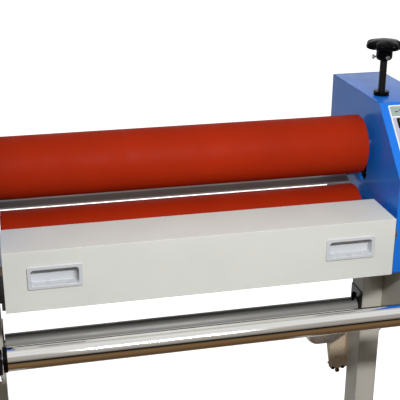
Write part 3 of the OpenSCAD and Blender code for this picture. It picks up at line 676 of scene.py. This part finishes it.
EDGE_WIDTHS = {
    "left_column": 0.8, "right_column": 0.8, "foot_beams": 0.8, "foot_end_caps": 0.9,
    "levelling_feet": 0.8, "lower_crossbeam": 0.8, "shaft_arms": 0.9, "bottom_tie_plate": 0.5,
    "shaft_cradles": 0.5, "stand_bolts": 0.4, "cover_screws": 0.5, "supply_end_rings": 0.8,
    "supply_axle": 0.8, "takeup_end_plugs": 0.8, "takeup_axle": 0.4, "takeup_lock_knob": 0.8,
    "axle_bushes": 0.5, "takeup_motor": 0.8, "takeup_gearbox": 1.2, "chain_case": 0.6,
    "bearing_blocks": 0.8, "lower_bearings": 0.8, "drive_motor": 1.2, "lift_guides": 0.8,
    "output_sprocket": 0.4,
}
for node, width in EDGE_WIDTHS.items():
    soften(node, width * MM)

# nodes that stay as CAD made them take their finish directly
REPLACED = {n for o in bpy.data.objects for n in o.get("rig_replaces", [])}
for node, piece in NODES.items():
    if node not in REPLACED:
        piece.data.materials.clear()
        piece.data.materials.append(MATERIALS[SLOT_OF[node]])

# ------------------------------------------------------------------ studio


def stage_material(name, colour, emission=0.0):
    p = Paint(name, Roughness=0.9, Emission_Color=rgb(1, 1, 1), Emission_Strength=emission)
    p.link(p.mix(p.remap(p.noise(0.6, 3), 0.3, 0.7, 0.0, 1.0), shade(colour, 0.99), colour), "Base Color")
    return p.material


def stage_rectangle(name, corners, material):
    mesh = bpy.data.meshes.new(name)
    mesh.from_pydata(corners, [], [(0, 1, 2, 3)])
    mesh.materials.append(material)
    made = bpy.data.objects.new(name, mesh)
    bpy.context.scene.collection.objects.link(made)
    return made


FLOOR = 30.0
floor_corners = [(-FLOOR, -FLOOR, 0), (FLOOR, -FLOOR, 0), (FLOOR, FLOOR, 0), (-FLOOR, FLOOR, 0)]
floor = stage_rectangle("floor", floor_corners, stage_material("pale_floor", rgb(0.90, 0.90, 0.90), 0.80))
# the room below the horizon is part of the world, so the floor itself throws no light back
floor.visible_diffuse = False
floor.visible_glossy = False


def strip_light(name, energy, place, target, width, height, glossy=True):
    data = bpy.data.lights.new(name, "AREA")
    data.energy = energy
    data.shape = "RECTANGLE"
    data.size, data.size_y = width, height
    made = bpy.data.objects.new(name, data)
    made.location = place
    made.rotation_euler = (Vector(target) - Vector(place)).to_track_quat("-Z", "Y").to_euler()
    made.visible_camera = False
    made.visible_glossy = glossy
    bpy.context.scene.collection.objects.link(made)


# a narrow strip above and in front, which throws the boxes' and tube's shadow bands on the stand
strip_light("key_strip", 21.0, (0.08, -1.26, 1.70), (0.08, 0.0, 0.80), 0.6, 0.08)
# a light behind the machine and lower than the boxes' tops, for views from the back
strip_light("back_fill", 14.0, (0.5, 2.6, 0.6), (0.0, 0.0, 0.65), 1.8, 0.6, glossy=False)


# fill light by height: straight down, level, straight up
FILL = [(0.0, (0.070, 0.055, 0.038)), (0.5, (0.092, 0.077, 0.058)), (1.0, (0.46, 0.46, 0.46))]


def studio_world():
    """Soft room mirrored in the machine: pale walls and ceiling, a dark gap and a brown floor in front."""
    world = bpy.data.worlds.new("studio")
    bpy.context.scene.world = world
    world.use_nodes = True
    tree = world.node_tree
    background = tree.nodes["Background"]
    place = tree.nodes.new("ShaderNodeTexCoord")
    parts = tree.nodes.new("ShaderNodeSeparateXYZ")
    tree.links.new(place.outputs["Generated"], parts.inputs[0])
    ahead = tree.nodes.new("ShaderNodeMath")
    ahead.operation = "MULTIPLY"
    ahead.inputs[1].default_value = -1.0
    tree.links.new(parts.outputs["Y"], ahead.inputs[0])
    angle = tree.nodes.new("ShaderNodeMath")
    angle.operation = "ARCTAN2"
    tree.links.new(parts.outputs["Z"], angle.inputs[0])
    tree.links.new(ahead.outputs[0], angle.inputs[1])
    turn = tree.nodes.new("ShaderNodeMapRange")
    turn.inputs["From Min"].default_value = -math.pi
    turn.inputs["From Max"].default_value = math.pi
    tree.links.new(angle.outputs[0], turn.inputs["Value"])
    ramp = tree.nodes.new("ShaderNodeValToRGB")
    tree.links.new(turn.outputs[0], ramp.inputs[0])
    # degrees up from the horizon in front: 90 is overhead, 180 and -180 are behind
    stops = [(-180, (0.92, 0.93, 0.94)), (-128, (0.85, 0.85, 0.84)), (-120, (0.12, 0.075, 0.04)),
             (-75, (0.13, 0.075, 0.035)), (-38, (0.25, 0.145, 0.07)), (-22, (0.18, 0.11, 0.055)),
             (-16, (0.02, 0.015, 0.010)), (-4, (0.012, 0.011, 0.010)), (5, (0.34, 0.32, 0.29)),
             (24, (0.50, 0.47, 0.43)), (34, (0.40, 0.38, 0.36)), (46, (0.62, 0.60, 0.58)),
             (54, (1.0, 0.99, 0.97)), (72, (0.88, 0.88, 0.87)), (90, (1.0, 1.0, 1.0)),
             (112, (0.62, 0.60, 0.58)), (135, (0.55, 0.54, 0.53)), (152, (0.92, 0.90, 0.88)),
             (180, (0.92, 0.93, 0.94))]
    elements = ramp.color_ramp.elements
    while len(elements) < len(stops):
        elements.new(0.5)
    for element, (degrees, colour) in zip(elements, stops):
        element.position = (degrees + 180) / 360
        element.color = rgb(*colour)
    # as fill light the room is dimmer and warmer: bright overhead, dark and brown low down
    fill = tree.nodes.new("ShaderNodeValToRGB")
    lift = tree.nodes.new("ShaderNodeMapRange")
    lift.inputs["From Min"].default_value = -1.0
    tree.links.new(parts.outputs["Z"], lift.inputs["Value"])
    tree.links.new(lift.outputs[0], fill.inputs[0])
    fill.color_ramp.elements.new(0.5)
    for element, (where, colour) in zip(fill.color_ramp.elements, FILL):
        element.position = where
        element.color = rgb(*colour)
    path = tree.nodes.new("ShaderNodeLightPath")
    choose = tree.nodes.new("ShaderNodeMix")
    choose.data_type = "RGBA"
    tree.links.new(path.outputs["Is Diffuse Ray"], choose.inputs[0])
    tree.links.new(ramp.outputs[0], choose.inputs[6])
    tree.links.new(fill.outputs[0], choose.inputs[7])
    # the camera itself sees plain white above the floor
    seen = tree.nodes.new("ShaderNodeMix")
    seen.data_type = "RGBA"
    seen.inputs[7].default_value = rgb(1.0, 1.0, 1.0)
    tree.links.new(path.outputs["Is Camera Ray"], seen.inputs[0])
    tree.links.new(choose.outputs[2], seen.inputs[6])
    tree.links.new(seen.outputs[2], background.inputs["Color"])
    background.inputs["Strength"].default_value = 1.0


studio_world()

# ------------------------------------------------------------------ camera

# radians, millimetres on a 36 mm sensor, and metres
YAW, PITCH, ROLL = 0.2248, 0.3735, -0.0029
LENS, SENSOR = 80.71, 36.0
CAMERA_PLACE = (-0.3298, -1.5544, 1.5022)
camera_data = bpy.data.cameras.new("camera")
camera_data.sensor_width = SENSOR
camera_data.lens = LENS
camera_data.clip_end = 100.0
camera = bpy.data.objects.new("camera", camera_data)
bpy.context.scene.collection.objects.link(camera)
ahead = Vector((math.sin(YAW) * math.cos(PITCH), math.cos(YAW) * math.cos(PITCH), -math.sin(PITCH)))
right = Vector((math.cos(YAW), -math.sin(YAW), 0))
down = ahead.cross(right)
right_r = right * math.cos(ROLL) + down * math.sin(ROLL)
down_r = down * math.cos(ROLL) - right * math.sin(ROLL)
turn = Matrix((right_r, -down_r, -ahead)).transposed().to_4x4()
camera.matrix_world = Matrix.Translation(CAMERA_PLACE) @ turn
bpy.context.scene.camera = camera
bpy.context.scene.view_settings.view_transform = "Standard"
